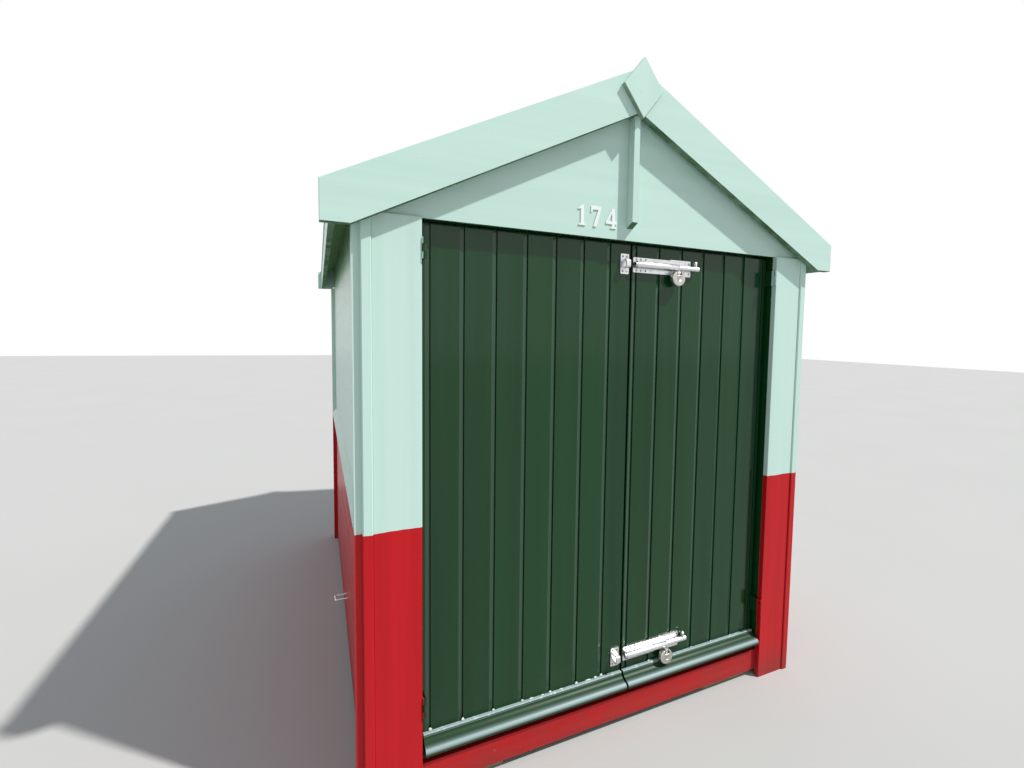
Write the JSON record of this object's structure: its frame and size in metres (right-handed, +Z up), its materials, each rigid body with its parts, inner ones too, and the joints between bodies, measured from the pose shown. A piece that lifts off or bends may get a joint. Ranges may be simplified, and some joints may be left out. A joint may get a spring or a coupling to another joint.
{
  "type": "beach hut",
  "caption": "Small timber beach hut with a felted gable roof, bargeboards, red and mint boarded walls and a pair of dark green outward-opening doors with sliding padbolts.",
  "frame": {"origin": "the middle of the hut's footprint, on the ground", "axes": "+Z up, -Y out of the front with the doors, +X to the right of someone facing the doors"},
  "size_m": [2.04, 2.564, 2.4819],
  "materials": {
    "mint_paint": "weathered gloss paint",
    "red_paint": "weathered gloss paint",
    "green_gloss": "high gloss paint",
    "bare_timber": "sawn, unpainted",
    "roof_felt": "mineral grit on bitumen felt",
    "zinc": "bright zinc plate",
    "hinge_iron": "gloss paint over iron"
  },
  "bodies": {
    "hut": {"packers": "bare_timber", "floor_frame": "bare_timber", "floor_deck": "bare_timber", "front_plinth": "red_paint", "left_lower_boards": "red_paint", "left_upper_panel": "mint_paint", "right_lower_boards": "red_paint", "right_upper_panel": "mint_paint", "rear_lower_boards": "red_paint", "rear_upper_panel": "mint_paint", "dado_mouldings": "mint_paint", "left_front_corner": "mint_paint", "right_front_corner": "mint_paint", "rear_corners": "mint_paint", "left_post_board": "mint_paint", "right_post_board": "mint_paint", "gable_panel": "mint_paint", "king_batten": "mint_paint", "door_frame": "green_gloss", "wall_frame": "bare_timber", "roof_frame": "bare_timber", "left_roof_deck": "bare_timber", "right_roof_deck": "bare_timber", "roof_felt": "roof_felt", "ridge_cap": "roof_felt", "fascias": "mint_paint", "front_left_bargeboard": "mint_paint", "front_right_bargeboard": "mint_paint", "rear_left_bargeboard": "mint_paint", "rear_right_bargeboard": "mint_paint", "front_diamond": "mint_paint", "rear_diamond": "mint_paint", "left_post_hinges": "hinge_iron", "right_post_hinges": "hinge_iron"},
    "left_leaf": {"left_leaf": "green_gloss", "left_weather_bar": "green_gloss", "left_leaf_hinges": "hinge_iron", "bolt_keeps": "zinc"},
    "right_leaf": {"right_leaf": "green_gloss", "right_weather_bar": "green_gloss", "right_leaf_hinges": "hinge_iron", "bolt_plates": "zinc", "padlocks": "zinc"},
    "upper_bolt_rod": {"upper_bolt_rod": "zinc"},
    "lower_bolt_rod": {"lower_bolt_rod": "zinc"}
  },
  "joints": [
    {"name": "left_leaf_hinge", "type": "hinge", "parent": "hut", "child": "left_leaf", "pos_m": [-0.734, -1.224, 1], "axis": [0, 0, -1], "range_deg": [0, 105]},
    {"name": "right_leaf_hinge", "type": "hinge", "parent": "hut", "child": "right_leaf", "pos_m": [0.734, -1.224, 1], "axis": [0, 0, 1], "range_deg": [0, 105]},
    {"name": "upper_bolt_slide", "type": "slide", "parent": "right_leaf", "child": "upper_bolt_rod", "axis": [-1, 0, 0], "range_m": [0, 0.06]},
    {"name": "lower_bolt_slide", "type": "slide", "parent": "right_leaf", "child": "lower_bolt_rod", "axis": [-1, 0, 0], "range_m": [0, 0.06]}
  ]
}
